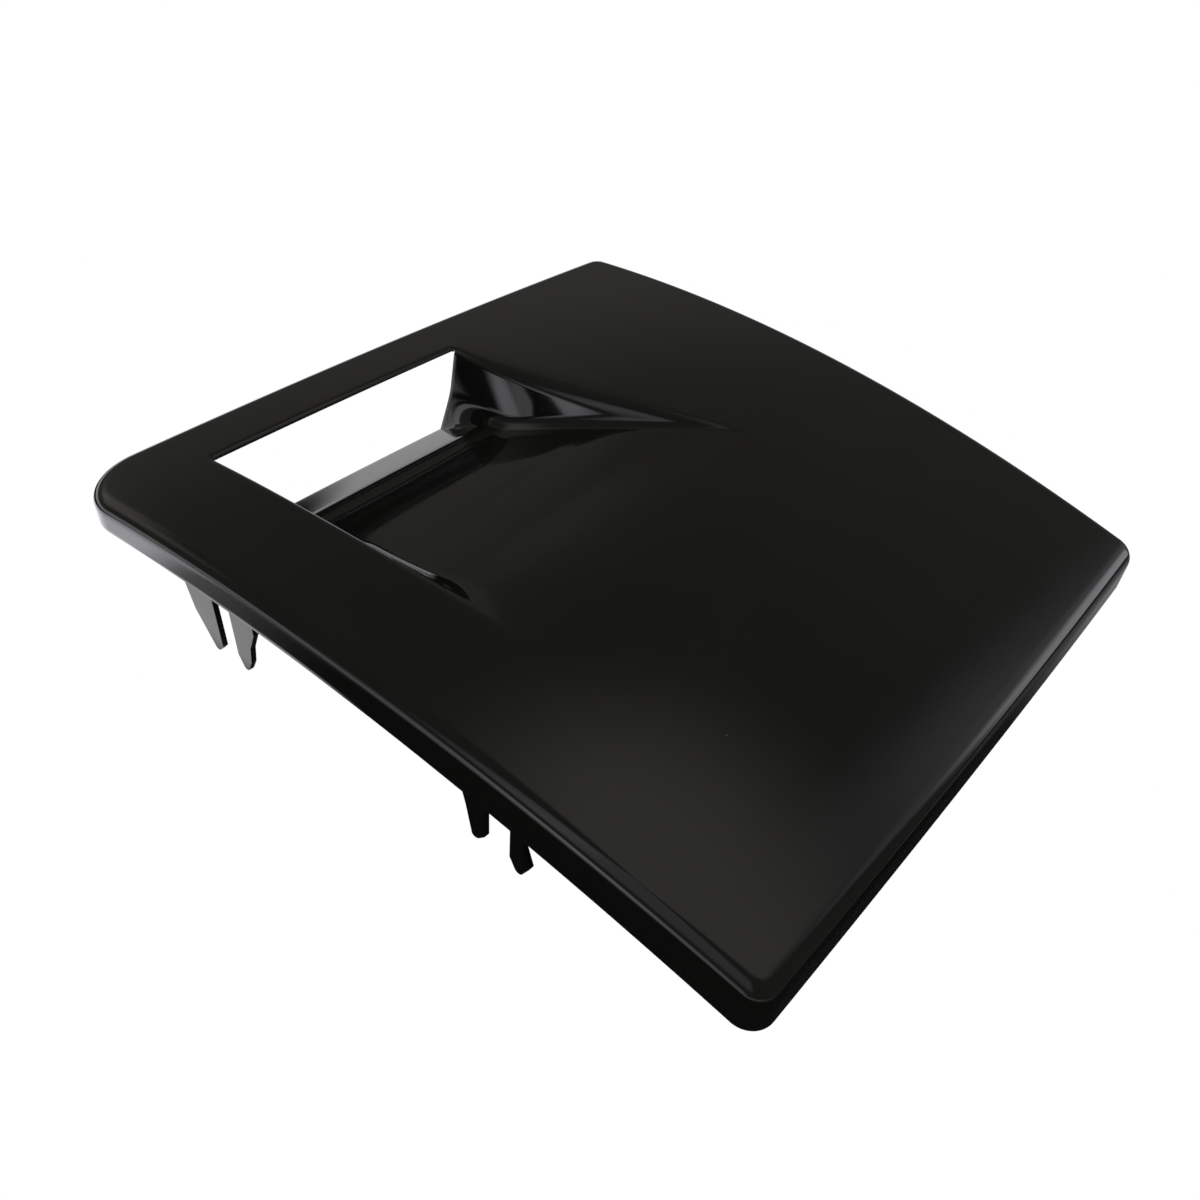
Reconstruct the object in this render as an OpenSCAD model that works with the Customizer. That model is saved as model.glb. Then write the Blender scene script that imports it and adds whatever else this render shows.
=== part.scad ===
// Left-hand headlight lid with a scooped air intake: one thin moulding that covers a pop-up lamp.
// Millimetres. X runs across the car with the inner side at -X, +Y is rearward, +Z is up.
// Z = 0 is the level of the longest tab tips, X = Y = 0 the middle of the lid.

/* [Lid] */
// Width along the rear edge
lid_w = 345; // [310:1:380]
// Length of the inner side, front to rear
lid_l = 359; // [325:1:390]
// Width along the front edge
front_w = 300; // [280:1:310]
// How far the inner side leans towards the middle at the front
inner_lean = 25; // [10:1:30]
// Forward bow of the front edge
front_bow = 1.5; // [0:0.5:8]
// How far the front edge is swept back at the outer side
front_sweep = 4; // [0:0.5:14]
// Height of the front-to-rear arch above its corners
arch_h = 16; // [10:1:22]
// Extra height of the cross crown
crown_h = 3.3; // [1:0.1:6]
// Place of the crown's top across the lid
crown_x = 26; // [0:1:40]
// How much lower the front corners are than the rear ones
front_drop = 4.5; // [0:0.5:12]
// Height of the rear corners above the tab tips
rim_z = 52; // [49:0.5:60]
// Thickness of the moulding
wall_t = 3; // [2.4:0.1:3.4]

/* [Rim] */
// Radius that turns the top into the skirt
edge_r = 6.5; // [5.5:0.1:8]
// Depth of the skirt at the rear
skirt_rear = 14; // [11:0.5:16]
// Depth of the skirt at the front
skirt_front = 21; // [16:0.5:24]
// Plan radius of the rounded rear inner corner
big_r = 30; // [20:1:36]
// Plan radius of the three tight corners
small_r = 9.5; // [9:0.5:13]
// Outward draft of the skirt, in degrees
draft = 1.5; // [0:0.5:3]

/* [Intake] */
// Width of the rear strip behind the mouth
strip_w = 37; // [34:1:48]
// Width of the mouth across the duct
mouth_w = 147; // [120:1:150]
// Middle of the mouth, across the lid
mouth_x = -49; // [-56:1:-42]
// Depth of the duct floor below the lid at the mouth
mouth_h = 36.5; // [28:0.5:38]
// Length of the ramp from the mouth to where it dies out
ramp_l = 275; // [250:1:290]
// How far the outer wall swings outwards
flare_out = 78; // [55:1:85]
// How far the inner wall runs towards the middle
flare_in = 20; // [8:1:26]
// Radius over the duct's upper edge at the mouth
crest_r = 3.2; // [3:0.1:5]
// Radius between wall and floor at the mouth
base_r = 7.5; // [6:0.5:12]
// Radius of the turned-down front edge of the rear strip
strip_r = 4; // [3.6:0.1:5]
// Radius of the rolled lip where the floor ends
lip_r = 13; // [10:0.5:16]

/* [Tabs] */
// Thickness of a tab
tab_t = 2.5; // [2:0.1:3.2]
// Gap from the outside of the skirt to a tab
tab_in = 6.8; // [6.5:0.1:9]
// Width of the bolt slots
slot_w = 13; // [10:0.5:14]
// Place of the rear slots, front to rear
rear_tab_y = 85; // [70:1:95]
// Place of the front slots, front to rear
front_tab_y = -68; // [-85:0.5:-60]
// Height of the rear slots' closed ends, above the tab tips
rear_slot_z = 38; // [34:0.5:40]
// Height of the front slots' closed ends, above the tab tips
front_slot_z = 35; // [32:0.5:38]
// Thickness of the ribs behind each tab
rib_t = 2.2; // [1.6:0.1:3]

/* [Hidden] */
plastic = [0.03, 0.03, 0.032];
$fn = 48;

rear_y = (lid_l + front_bow)/2;
front_y = rear_y - lid_l;
outer_lean = lid_w - front_w - inner_lean;
sweep = front_sweep/front_w;  // the front edge's slope in plan
mouth_y = rear_y - strip_w;
lip_gap = 1;                 // the strip ends this far behind the duct
crest_grow = 46;             // growth of the crest radius along the ramp
base_grow = 120;             // growth of the floor radius along the ramp
min_drop = 1;                // keeps the wall columns apart where the ramp has died out

// Forms of the top
function ease(t) = let(u = min(1, max(0, t))) u*u*(3 - 2*u);
function mix(a, b, t) = a + (b - a)*t;
function along(y) = (rear_y - y)/lid_l;
function top_z(x, y) = let(s = along(y))
    rim_z + 4*arch_h*s*(1 - s) - front_drop*s
    + crown_h*(1 - pow((x - crown_x)/(lid_w/2), 2));
function inner_x(y) = -lid_w/2 + inner_lean*along(y);
function outer_x(y) = lid_w/2 - outer_lean*along(y);
function skirt(y) = mix(skirt_rear, skirt_front, min(1, max(0, along(y))));
// The front edge's bow and sweep, which fade out towards the mouth
function bowed(p) = let(s = min(1, max(0, along(p[1]))), u = 2*p[0]/front_w)
    [p[0], p[1] + s*s*(sweep*(p[0] + 10) - front_bow*max(0, 1 - u*u)), p[2]];

// Forms of the duct: down(y) is 0 at the mouth and 1 where the ramp dies out
function down(y) = min(1, max(0, (mouth_y - y)/ramp_l));
function crest_in(y) = mouth_x - mouth_w/2 + flare_in*down(y);
function crest_out(y) = mouth_x + mouth_w/2 + flare_out*(0.5 - 0.5*cos(180*min(1, 0.95*down(y))));
function drop(y) = mouth_h*(0.5 + 0.5*cos(180*max(0, (down(y) - 0.05)/0.95)));
function crest_rad(y) = crest_r + crest_grow*pow(down(y), 1.5);
function base_rad(y) = base_r + base_grow*pow(down(y), 1.2);

// One wall of the duct at y as [distance in from the crest, drop], from the crest to the floor:
// an arc over the crest, a straight wall, then an arc into the floor.
arc_n = 3;
function wall_pts(y) = let(
        deep = max(min_drop, drop(y)), k = drop(y)/deep,
        a = crest_rad(y), b = base_rad(y),
        steep = min(mix(87, 46, min(1, 1.8*down(y))), acos(max(-1, 1 - deep/(a + b)))),
        run = max(0, (deep - (a + b)*(1 - cos(steep)))/sin(steep)),
        x1 = a*sin(steep) + run*cos(steep), z1 = a*(1 - cos(steep)) + run*sin(steep))
    concat(
        [for (i = [0:arc_n]) let(g = steep*i/arc_n) [a*sin(g), k*a*(1 - cos(g))]],
        [for (i = [0:arc_n]) let(g = steep*(1 - i/arc_n))
            [x1 + b*(sin(steep) - sin(g)), k*(z1 + b*(cos(g) - cos(steep)))]]);
wall_n = 2*arc_n + 1;        // cells across one wall

// Columns: inner land, inner wall, floor, outer wall, outer land
land_in = 7;
floor_n = 9;
land_out = 8;
corner_n = 3;                // cells on half a corner
c1 = land_in;
c2 = c1 + wall_n;
c3 = c2 + floor_n;
c4 = c3 + wall_n;
cols = c4 + land_out;

// Rows: rear strip, its turned-down edge, the lip, the ramp, the front
roll_n = 3;
lip_n = 4;
ramp_n = 14;
front_n = 6;
r1 = corner_n + 2;           // where the turned-down edge starts
r2 = r1 + roll_n;            // the strip's front edge
r3 = r2 + 1;                 // the rear end of the duct
r4 = r3 + lip_n;             // where the lip meets the floor
r5 = r4 + ramp_n;            // where the ramp has died out
rows = r5 + front_n;

lean_in = atan(inner_lean/lid_l);
lean_out = atan(outer_lean/lid_l);
// Centre of the plan circle of a corner: a side's line moved in by the radius meets the end's
function corner_c(rear, inner, r) = let(y = rear ? rear_y - r : front_y + r)
    [inner ? inner_x(y) + r/cos(lean_in) : outer_x(y) - r/cos(lean_out), y];
function rear_r(inner) = inner ? big_r : small_r;
// Direction of the outward normal, in degrees, at step k of corner_n from the side to the middle
function side_dir(inner) = inner ? 180 + lean_in : -lean_out;
function end_dir(rear, inner) = rear ? 90 : (inner ? 270 : -90);
function corner_dir(rear, inner, k) = mix(side_dir(inner), end_dir(rear, inner), k/(2*corner_n));
function corner_pt(rear, inner, k) = let(
        r = rear ? rear_r(inner) : small_r, c = corner_c(rear, inner, r),
        a = corner_dir(rear, inner, k))
    [c[0] + (r - edge_r)*cos(a), c[1] + (r - edge_r)*sin(a)];

function row_y(j) =
    j <= corner_n ? rear_y - edge_r - j :
    j <= r1 ? mix(rear_y - edge_r - big_r/2, mouth_y + strip_r, (j - corner_n)/(r1 - corner_n)) :
    j <= r2 ? mouth_y + strip_r*(1 - sin(90*(j - r1)/roll_n)) :
    j <= r4 ? mouth_y - lip_gap - lip_r*(1 - cos(82*(j - r3)/lip_n))
              /(1 - cos(82)) :
    j <= r5 ? mix(mouth_y - lip_gap - lip_r, mouth_y - ramp_l, (j - r4)/ramp_n) :
    mix(mouth_y - ramp_l, front_y + edge_r, (j - r5)/front_n);

// Points and outward directions of the two sides, at the inner edge of the rim
function side_pt(inner, j) =
    j <= corner_n ? corner_pt(true, inner, corner_n - j) :
    j >= rows - corner_n ? corner_pt(false, inner, j - rows + corner_n) :
    let(y0 = corner_pt(true, inner, 0)[1], y1 = corner_pt(false, inner, 0)[1],
        y = j <= r1 ? mix(y0, row_y(r1), (j - corner_n)/(r1 - corner_n)) :
            j <= r5 ? row_y(j) :
            mix(row_y(r5), y1, (j - r5)/(rows - corner_n - r5)))
    [inner ? inner_x(y) + edge_r/cos(lean_in) : outer_x(y) - edge_r/cos(lean_out), y];
function side_dir_at(inner, j) =
    j < corner_n ? corner_dir(true, inner, corner_n - j) :
    j > rows - corner_n ? corner_dir(false, inner, j - rows + corner_n) : side_dir(inner);

// X of column i at row j, between the side points and the walls of the duct
function land_x(inner, i, n, edge, crest, rear_x, front_x, s) =
    i <= corner_n ? edge + mix(rear_x[i] - rear_x[0], front_x[i] - front_x[0], s) :
    let(x0 = edge + mix(rear_x[corner_n] - rear_x[0], front_x[corner_n] - front_x[0], s))
    mix(x0, crest, (i - corner_n)/(n - corner_n));
half_arc = [for (rear = [true, false]) [for (inner = [true, false])
    [for (k = [0:corner_n]) corner_pt(rear, inner, corner_n + k)[0]]]];

function grid_row(j) = let(
        y = row_y(j), s = j/rows,
        p0 = side_pt(true, j), p1 = side_pt(false, j),
        w = wall_pts(y), ci = crest_in(y), co = crest_out(y),
        f0 = ci + w[wall_n][0], f1 = co - w[wall_n][0],
        xs = [for (i = [0:cols])
            i <= c1 ? land_x(true, i, land_in, p0[0], ci, half_arc[0][0], half_arc[1][0], s) :
            i < c2 ? ci + w[i - c1][0] :
            i <= c3 ? mix(f0, f1, (i - c2)/floor_n) :
            i < c4 ? co - w[c4 - i][0] :
            land_x(false, cols - i, land_out, p1[0], co, half_arc[0][1], half_arc[1][1], s)],
        ys = [for (i = [0:cols]) let(u = i/cols) row_plan_y(j, i, u, xs[i], y, p0[1], p1[1])])
    [for (i = [0:cols]) [xs[i], ys[i]]];

// Y of a grid point: the row's own y, eased to the side points over the lands and to the
// rounded outline at the two ends
function end_y(rear, x) = let(
        ci = corner_c(rear, true, rear ? big_r : small_r),
        co = corner_c(rear, false, small_r),
        ri = (rear ? big_r : small_r) - edge_r, ro = small_r - edge_r,
        k = rear ? 1 : -1)
    x < ci[0] ? ci[1] + k*sqrt(max(0, ri*ri - pow(x - ci[0], 2))) :
    x > co[0] ? co[1] + k*sqrt(max(0, ro*ro - pow(x - co[0], 2))) :
    (rear ? rear_y - edge_r : front_y + edge_r);
function row_plan_y(j, i, u, x, y, y0, y1) =
    j == 0 ? end_y(true, x) :
    j == rows ? end_y(false, x) :
    let(pull_in = i < c1 ? 1 - ease(i/c1) : 0,
        pull_out = i > c4 ? ease((i - c4)/land_out) : 0,
        z0 = j <= r1 ? mix(end_y(true, max(x, half_arc[0][0][0])), row_y(r1), j/r1) :
             j > r5 ? mix(row_y(r5), end_y(false, x), (j - r5)/front_n) : y)
    i == 0 ? y0 : i == cols ? y1 : z0 + pull_in*(y0 - z0) + pull_out*(y1 - z0);

// How far the strip's front edge is turned down, and how far the lip has rolled, at row j
function strip_drop(j, inset) = let(
        t = j <= r1 ? 0 : strip_r*(1 - cos(90*(min(j, r2) - r1)/roll_n)),
        w = inset <= 0 ? 0 : inset >= strip_r ? 1 : 1 - sqrt(1 - pow(inset/strip_r, 2)))
    t*w;
function lip_drop(y) = let(t = max(0, y - (mouth_y - lip_gap - lip_r)))
    lip_r - sqrt(max(0, lip_r*lip_r - t*t*0.98));

function grid_z(i, j, p) = let(y = row_y(j), w = wall_pts(y),
        inset = min(p[0] - crest_in(y), crest_out(y) - p[0]),
        k = i <= c1 || i >= c4 ? 0 : i < c2 ? i - c1 : i > c3 ? c4 - i : wall_n,
        flat = k <= arc_n ? 0 : pow((k - arc_n)/(wall_n - arc_n), 2))
    top_z(p[0], p[1]) - (j <= r2 ? strip_drop(j, inset) : w[k][1] + flat*lip_drop(y));

plan = [for (j = [0:rows]) grid_row(j)];
skin = [for (j = [0:rows]) [for (i = [0:cols]) let(p = plan[j][i])
    bowed([p[0], p[1], grid_z(i, j, p)])]];

// The underside of the skin: each point moved in along its normal
function unit(v) = v/max(1e-9, norm(v));
function open_at(i, j, di, dj) =          // no cell between this point and its neighbour
    i + di < 0 || i + di > cols || j + dj < 0 || j + dj > rows
    || (i > c1 && i < c4 && ((j == r2 && dj > 0) || (j == r3 && dj < 0)));
function tangent(i, j, di, dj) =
    (open_at(i, j, di, dj) ? [0, 0, 0] : unit(skin[j + dj][i + di] - skin[j][i]))
    + (open_at(i, j, -di, -dj) ? [0, 0, 0] : unit(skin[j][i] - skin[j - dj][i - di]));
function normal(i, j) = unit(cross(tangent(i, j, 0, 1), tangent(i, j, 1, 0)));

// The rim: rings of points outside the grid's edge
loop_n = 2*(cols + rows);
function loop_ij(b) =
    b < cols ? [b, 0] :
    b < cols + rows ? [cols, b - cols] :
    b < 2*cols + rows ? [2*cols + rows - b, rows] : [0, loop_n - b];
function loop_dir(b) = let(p = loop_ij(b), i = p[0], j = p[1])
    j == 0 ? (i <= corner_n ? corner_dir(true, true, corner_n + i) :
              i >= cols - corner_n ? corner_dir(true, false, corner_n + cols - i) : 90) :
    j == rows ? (i <= corner_n ? corner_dir(false, true, corner_n + i) :
                 i >= cols - corner_n ? corner_dir(false, false, corner_n + cols - i) : 270) :
    side_dir_at(i == 0, j);
ring_n = 4;                               // cells round the edge, then one down the skirt
function rim_slope(p, n) = let(e = 0.5)
    max(0, atan((top_z(p[0], p[1]) - top_z(p[0] + e*n[0], p[1] + e*n[1]))/e));
function ring_pt(b, k, inward) = let(
        ij = loop_ij(b), p = skin[ij[1]][ij[0]], a = loop_dir(b), n = [cos(a), sin(a)],
        a0 = rim_slope(p, n), r = edge_r/(1 - sin(a0)),
        g = mix(a0, 90, min(k, ring_n)/ring_n), q = r - inward,
        low = k > ring_n ? skirt(p[1]) - r*cos(a0) : 0,
        h = q*sin(g) - r*sin(a0) + low*tan(draft),
        z = k > ring_n ? p[2] - skirt(p[1]) : p[2] + q*cos(g) - r*cos(a0))
    [p[0] + h*n[0], p[1] + h*n[1], z];

under = [for (j = [0:rows]) [for (i = [0:cols])
    i == 0 || j == 0 || i == cols || j == rows
        ? ring_pt(i == 0 ? (j == 0 ? 0 : loop_n - j) : j == 0 ? i : i == cols ? cols + j
            : 2*cols + rows - i, 0, wall_t)
        : skin[j][i] - wall_t*normal(i, j)]];

// The middle of the lid, which comes to X = Y = 0
foot_xy = [for (b = [0:loop_n - 1]) ring_pt(b, ring_n + 1, 0)];
middle = [for (k = [0, 1]) let(v = [for (p = foot_xy) p[k]]) (max(v) + min(v))/2];

grid_n = (cols + 1)*(rows + 1);
function g_out(i, j) = j*(cols + 1) + i;
function ring_id(b, k, inside) = let(c = b % loop_n, ij = loop_ij(c))
    k == 0 ? g_out(ij[0], ij[1]) + (inside ? grid_n : 0)
           : 2*grid_n + ((inside ? ring_n + 1 : 0) + k - 1)*loop_n + c;
function quad(a, b, c, d) = [[a, b, c], [a, c, d]];
function hole(i, j) = j == r2 && i >= c1 && i < c4;

module skin_body() {
    pts = concat(
        [for (j = [0:rows]) for (i = [0:cols]) skin[j][i]],
        [for (j = [0:rows]) for (i = [0:cols]) under[j][i]],
        [for (k = [1:ring_n + 1]) for (b = [0:loop_n - 1]) ring_pt(b, k, 0)],
        [for (k = [1:ring_n + 1]) for (b = [0:loop_n - 1]) ring_pt(b, k, wall_t)]);
    g = grid_n;
    tops = [for (j = [0:rows - 1]) for (i = [0:cols - 1]) if (!hole(i, j))
        each quad(g_out(i, j), g_out(i + 1, j), g_out(i + 1, j + 1), g_out(i, j + 1))];
    unders = [for (f = tops) [f[2] + g, f[1] + g, f[0] + g]];
    mouth = concat(
        [for (i = [c1:c4 - 1]) each quad(g_out(i, r2), g_out(i + 1, r2),
            g_out(i + 1, r2) + g, g_out(i, r2) + g)],
        [for (i = [c1:c4 - 1]) each quad(g_out(i + 1, r3), g_out(i, r3),
            g_out(i, r3) + g, g_out(i + 1, r3) + g)],
        quad(g_out(c1, r3), g_out(c1, r2), g_out(c1, r2) + g, g_out(c1, r3) + g),
        quad(g_out(c4, r2), g_out(c4, r3), g_out(c4, r3) + g, g_out(c4, r2) + g));
    rim = [for (k = [0:ring_n]) for (b = [0:loop_n - 1]) each concat(
        quad(ring_id(b, k + 1, false), ring_id(b + 1, k + 1, false),
             ring_id(b + 1, k, false), ring_id(b, k, false)),
        quad(ring_id(b, k, true), ring_id(b + 1, k, true),
             ring_id(b + 1, k + 1, true), ring_id(b, k + 1, true)))];
    foot = [for (b = [0:loop_n - 1]) each quad(
        ring_id(b, ring_n + 1, true), ring_id(b + 1, ring_n + 1, true),
        ring_id(b + 1, ring_n + 1, false), ring_id(b, ring_n + 1, false))];
    polyhedron(pts, concat(tops, unders, mouth, rim, foot), convexity = 8);
}

// Slotted tabs
// A fork in its own plane, [along the lid from the slot, height]: two tapering prongs whose
// inner corners are cut back as a lead-in for the bolt.
module fork(slot_z, tips, wide, top) {
    half = slot_w/2;
    difference() {
        union() {
            polygon(concat(
                [[half, slot_z + 2], [half, tips[0] + 5], [half + 3.5, tips[0] + 0.6]],
                [[half + 7, tips[0] + 1], [wide[0] - 4, tips[0] + 16], [wide[0], tips[0] + 30]],
                top,
                [[-wide[1], tips[1] + 29], [-wide[1] + 5, tips[1] + 18]],
                [[-half - 10, tips[1] + 8], [-half - 6.6, tips[1] + 1.2]],
                [[-half - 2.6, tips[1] + 0.8], [-half, tips[1] + 6], [-half, slot_z + 2]]));
            translate([half + 5.2, tips[0] + 2]) circle(r = 2);
            translate([-half - 4.6, tips[1] + 2.2]) circle(r = 2.2);
        }
        translate([0, slot_z]) circle(d = slot_w);
        translate([-half, -5]) square([slot_w, slot_z + 5]);
    }
}

// One tab at the side, standing on the underside of the skin, with two ribs behind it
module tab(inner, y, slot_z, tips, wide) {
    k = inner ? 1 : -1;
    face = inner ? inner_x(y) + tab_in : outer_x(y) - tab_in - tab_t;
    mid = face + tab_t/2;
    sink = wall_t/2;
    top = [for (t = [1:-0.25:-1]) let(d = t > 0 ? t*wide[0] : t*wide[1])
        [d, bowed([mid, y + d, top_z(mid, y + d)])[2] - sink]];
    translate([face, y, 0]) rotate([90, 0, 90])
        linear_extrude(tab_t) fork(slot_z, tips, wide, top);
    for (d = [slot_w/2 + 4, -slot_w/2 - 4 - rib_t])
        translate([0, y + d + rib_t, 0]) rotate([90, 0, 0]) linear_extrude(rib_t)
            polygon([
                [mid, top_z(mid, y + d) - sink - 0.5],
                [mid + 15*k, top_z(mid + 15*k, y + d) - sink - 0.5],
                [mid + 15*k, top_z(mid, y + d) - wall_t - 3],
                [mid, slot_z - 2]]);
}

// The whole lid
module lid() {
    color(plastic) translate([-middle[0], -middle[1], 0]) union() {
        skin_body();
        for (inner = [true, false]) {
            tab(inner, rear_tab_y, rear_slot_z, [0, 4.5], [28, 23.5]);
            tab(inner, front_tab_y, front_slot_z, [6.5, 7.5], [20.5, 18]);
        }
    }
}

lid();
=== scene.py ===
import math

import bpy
import bmesh
from mathutils import Matrix, Vector


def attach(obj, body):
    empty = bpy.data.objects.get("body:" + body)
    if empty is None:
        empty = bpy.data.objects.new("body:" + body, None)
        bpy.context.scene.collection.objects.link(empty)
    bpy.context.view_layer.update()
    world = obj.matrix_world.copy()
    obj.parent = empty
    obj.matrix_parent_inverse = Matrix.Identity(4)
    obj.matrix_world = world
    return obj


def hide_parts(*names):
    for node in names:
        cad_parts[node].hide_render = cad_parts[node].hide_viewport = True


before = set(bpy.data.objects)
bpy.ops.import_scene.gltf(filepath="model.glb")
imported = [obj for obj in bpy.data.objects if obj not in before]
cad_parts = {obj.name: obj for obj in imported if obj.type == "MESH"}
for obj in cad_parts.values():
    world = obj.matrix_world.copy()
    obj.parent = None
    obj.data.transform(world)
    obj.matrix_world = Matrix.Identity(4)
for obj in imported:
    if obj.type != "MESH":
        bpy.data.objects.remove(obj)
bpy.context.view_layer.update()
print("frame loaded")

# The moulded lid in millimetres: its rear edge lies at +Y and its inner side at -X
lid = {
    "rearWidth": 344.92,
    "length": 359,
    "frontWidth": 300,
    "innerLean": 25,      # inner side, towards the middle at the front
    "frontBow": 1.5,
    "frontSweep": 4,
    "sweepMiddle": -10,   # the front edge's sweep is nought at this X
    "arch": 16,           # front to rear
    "crown": 3.3,         # side to side
    "crownX": 26,
    "frontDrop": 4.5,
    "rimHeight": 51.99,   # rear corners above the tab tips
    "wall": 3,
    "edgeRadius": 6.5,
    "skirtRear": 14,
    "skirtFront": 21,
    "bigCorner": 30,
    "smallCorner": 9.5,
    "draft": 1.5,         # degrees
    "edgeSoftness": 0.6,  # rounding of the skirt's foot and of the mouth's edges
    "edgeSteps": 2,
    "edgeAngle": 55,
}
# The duct in its top. Of two values in brackets the first is the inner wall's.
duct = {
    "stripWidth": 36.5,
    "mouthWidth": 146,
    "mouthX": -49.5,
    "mouthOverCrest": 0.6,     # the mouth starts this far along the arcs over the crests
    "depth": 29.5,
    "rampLength": 275,
    "rampStart": (-50, -24),   # Y at which each wall's foot starts to sink
    "rampEase": (50, 70),      # length in which it turns down to its even slope
    "rampLevel": 14,           # length in which it comes level again before the lip
    "rise": 0.5,               # how much the floor comes up again to the lip
    "riseLength": 9,
    "trough": 0.02,            # sag of the floor between its feet, to its width
    "troughDepth": 10,         # depth of the inner foot from which the sag is whole
    "troughEnd": 60,           # length before the lip in which it fades
    "flareOut": 78,
    "flareIn": 20,
    "flareShare": 0.95,        # how much of a half wave the outer flare runs through
    "crestRadius": 3.2,
    "crestGrowth": (150, 22),
    "baseRadius": 7.5,
    "baseGrowth": (270, 7),
    "growthPower": (4.4, 1),
    "steepAtMouth": 87,
    "steepAtEnd": (54, 56),
    "steepRate": (3.3, 1.8),
    "stripRadius": 4,
    "stripTurn": 60,
    "lipBend": 9,
    "lipTilt": 25,
    "lipLength": 38.5,
    "lipGap": 2.25,
    "lipLean": 3,              # the lip's end lies this far behind the walls' upper ends
    "leastDrop": 1,            # the walls are laid out for this depth or more
    "leastRun": 0.3,           # straight piece that keeps the two arcs of a wall apart
}
# How finely the skin is divided
mesh = {
    "corner": 9, "innerLand": 24, "outerLand": 26, "arc": 9, "floor": 40,
    "roll": 7, "lip": 12, "ramp": 70, "front": 26, "stripRows": 12,
    "edge": 9, "skirt": 5,
    "rearBand": 3,   # millimetres that the first rows take
}

rearY = (lid["length"] + lid["frontBow"]) / 2
frontY = rearY - lid["length"]
outerLean = lid["rearWidth"] - lid["frontWidth"] - lid["innerLean"]
mouthY = rearY - duct["stripWidth"]
wallY = mouthY - duct["lipGap"]
lipY = wallY + duct["lipLean"] - duct["lipLength"]
leanIn = math.degrees(math.atan(lid["innerLean"] / lid["length"]))
leanOut = math.degrees(math.atan(outerLean / lid["length"]))


def sinD(a):
    return math.sin(math.radians(a))


def cosD(a):
    return math.cos(math.radians(a))


def clamp(t, low=0.0, high=1.0):
    return min(high, max(low, t))


def ease(t):
    u = clamp(t)
    return u * u * (3 - 2 * u)


def blend(a, b, t):
    return a + (b - a) * t


# 0 at the rear edge, 1 at the front one
def along(y):
    return (rearY - y) / lid["length"]


def topZ(x, y):
    s = along(y)
    return (lid["rimHeight"] + 4 * lid["arch"] * s * (1 - s) - lid["frontDrop"] * s
            + lid["crown"] * (1 - ((x - lid["crownX"]) / (lid["rearWidth"] / 2)) ** 2))


def innerX(y):
    return -lid["rearWidth"] / 2 + lid["innerLean"] * along(y)


def outerX(y):
    return lid["rearWidth"] / 2 - outerLean * along(y)


def skirtDepth(y):
    return blend(lid["skirtRear"], lid["skirtFront"], clamp(along(y)))


# The front edge is bowed and swept, and the rows behind it less and less
def bowed(p):
    s = clamp(along(p[1]))
    u = 2 * p[0] / lid["frontWidth"]
    slope = lid["frontSweep"] / lid["frontWidth"]
    sweep = slope * (p[0] - lid["sweepMiddle"])
    return (p[0], p[1] + s * s * (sweep - lid["frontBow"] * max(0, 1 - u * u)), p[2])


# 0 at the mouth, 1 where the ramp ends in the lid's top
def down(y):
    return clamp((mouthY - y) / duct["rampLength"])


def crestIn(y):
    return duct["mouthX"] - duct["mouthWidth"] / 2 + duct["flareIn"] * down(y)


def crestOut(y):
    return (duct["mouthX"] + duct["mouthWidth"] / 2
            + duct["flareOut"] * (0.5 - 0.5 * cosD(180 * duct["flareShare"] * down(y))))


# Depth of a wall's foot: an easy start, an even slope, then level again before the lip
def wallDrop(inner, y):
    side = 0 if inner else 1
    first, last = duct["rampEase"][side], duct["rampLevel"]
    long = lipY - duct["rampStart"][side]
    t = clamp(y - duct["rampStart"][side], 0, long)
    whole = long - (first + last) / 2
    if t < first:
        g = t * t / (2 * first)
    elif t > long - last:
        g = whole - (long - t) ** 2 / (2 * last)
    else:
        g = t - first / 2
    return duct["depth"] * g / whole - duct["rise"] * ease((y - lipY) / duct["riseLength"] + 1)


# One wall of the duct: an arc over the crest, a straight wall, an arc into the floor
def wallPoints(inner, y):
    n = mesh["arc"]
    drop = wallDrop(inner, y)
    deep = max(duct["leastDrop"], drop)
    k = drop / deep   # flattens the wall where the ramp is shallower than that
    d = down(y)
    side = 0 if inner else 1
    grown = d ** duct["growthPower"][side]
    a = duct["crestRadius"] + duct["crestGrowth"][side] * grown
    b = duct["baseRadius"] + duct["baseGrowth"][side] * grown
    steep = min(blend(duct["steepAtMouth"], duct["steepAtEnd"][side],
                      min(1, duct["steepRate"][side] * d)),
                math.degrees(math.acos(max(-1, 1 - deep / (a + b)))))
    run = max(duct["leastRun"], (deep - (a + b) * (1 - cosD(steep))) / sinD(steep))
    x1 = a * sinD(steep) + run * cosD(steep)
    z1 = a * (1 - cosD(steep)) + run * sinD(steep)
    turns = [steep * i / n for i in range(n + 1)]
    crest = [(a * sinD(g), k * a * (1 - cosD(g))) for g in turns]
    base = [(x1 + b * (sinD(steep) - sinD(g)), k * (z1 + b * (cosD(g) - cosD(steep))))
            for g in reversed(turns)]
    return crest + base


# Columns and rows of the skin's grid
cornerN, arcN = mesh["corner"], mesh["arc"]
wallN = 2 * arcN + 1
col1 = mesh["innerLand"]
col2 = col1 + wallN
col3 = col2 + mesh["floor"]
col4 = col3 + wallN
colN = col4 + mesh["outerLand"]
row1 = mesh["stripRows"]
row2 = row1 + mesh["roll"]
row3 = row2 + 1
row4 = row3 + mesh["lip"]
row5 = row4 + mesh["ramp"]
rowN = row5 + mesh["front"]


def cornerCentre(rear, inner, r):
    y = rearY - r if rear else frontY + r
    return (innerX(y) + r / cosD(leanIn) if inner else outerX(y) - r / cosD(leanOut), y)


def cornerDir(rear, inner, k):
    side = 180 + leanIn if inner else -leanOut
    end = 90 if rear else (270 if inner else -90)
    return blend(side, end, k / (2 * cornerN))


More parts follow.
